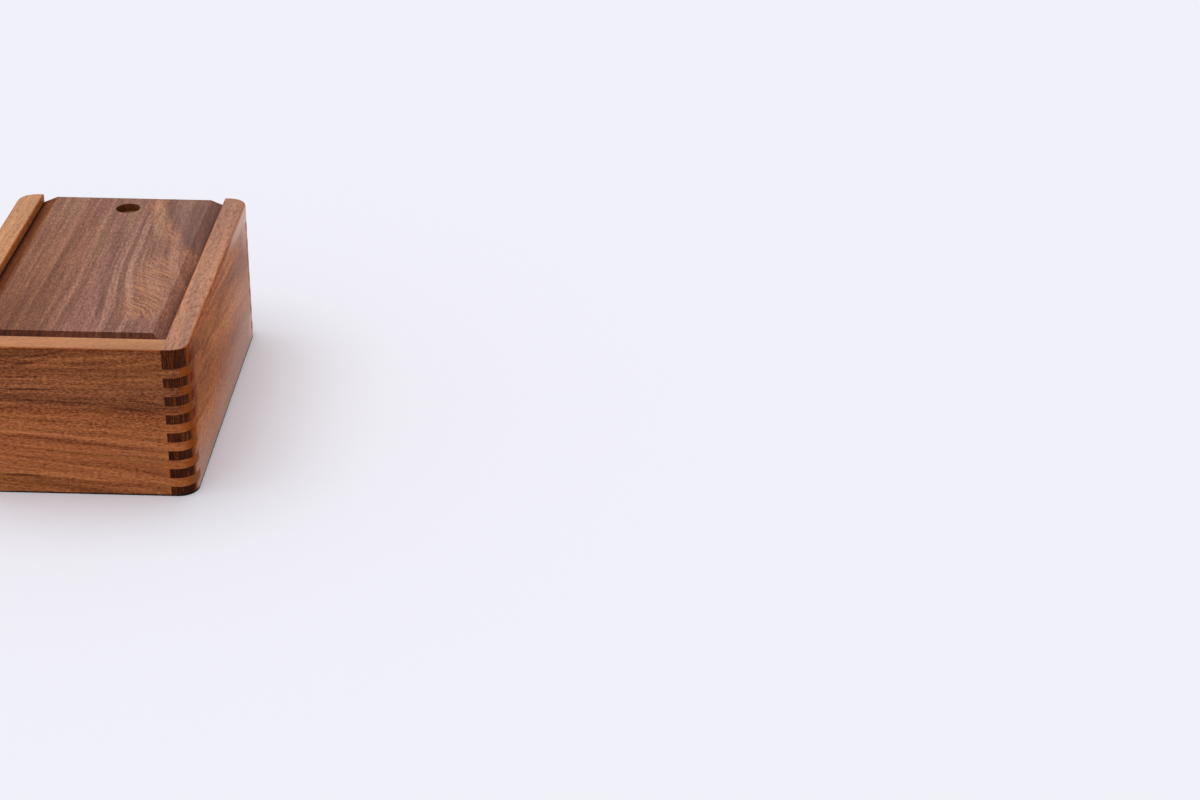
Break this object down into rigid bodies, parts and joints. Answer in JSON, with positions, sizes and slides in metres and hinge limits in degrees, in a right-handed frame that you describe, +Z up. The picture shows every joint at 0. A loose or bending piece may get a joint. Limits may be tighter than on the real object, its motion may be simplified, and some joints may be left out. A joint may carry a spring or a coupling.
{
  "type": "sliding-lid box",
  "caption": "Wooden box with finger-jointed corners, two compartments, a felt base, and a bevelled lid with a thumb notch that slides out over its lower end wall.",
  "frame": {"origin": "middle of the underside of the base felt", "axes": "+X across the box to the right side wall, +Y along the box the way the lid slides out, +Z up"},
  "size_m": [0.159, 0.242, 0.102],
  "materials": {
    "front_wood": "satin oiled hardwood, orange-brown",
    "side_wood": "satin oiled hardwood, reddish brown",
    "lid_wood": "satin oiled hardwood, figured brown",
    "inside_wood": "plain sanded wood",
    "green_felt": "dark green felt"
  },
  "bodies": {
    "box": {"front_wall": "front_wood", "rear_wall": "front_wood", "left_wall": "side_wood", "right_wall": "side_wood", "bottom_panel": "inside_wood", "divider": "inside_wood", "base_felt": "green_felt", "near_lining": "green_felt", "far_lining": "green_felt"},
    "lid": {"lid": "lid_wood"}
  },
  "joints": [
    {"name": "lid_slide", "type": "slide", "parent": "box", "child": "lid", "axis": [0, 1, 0], "range_m": [0, 0.24]}
  ]
}
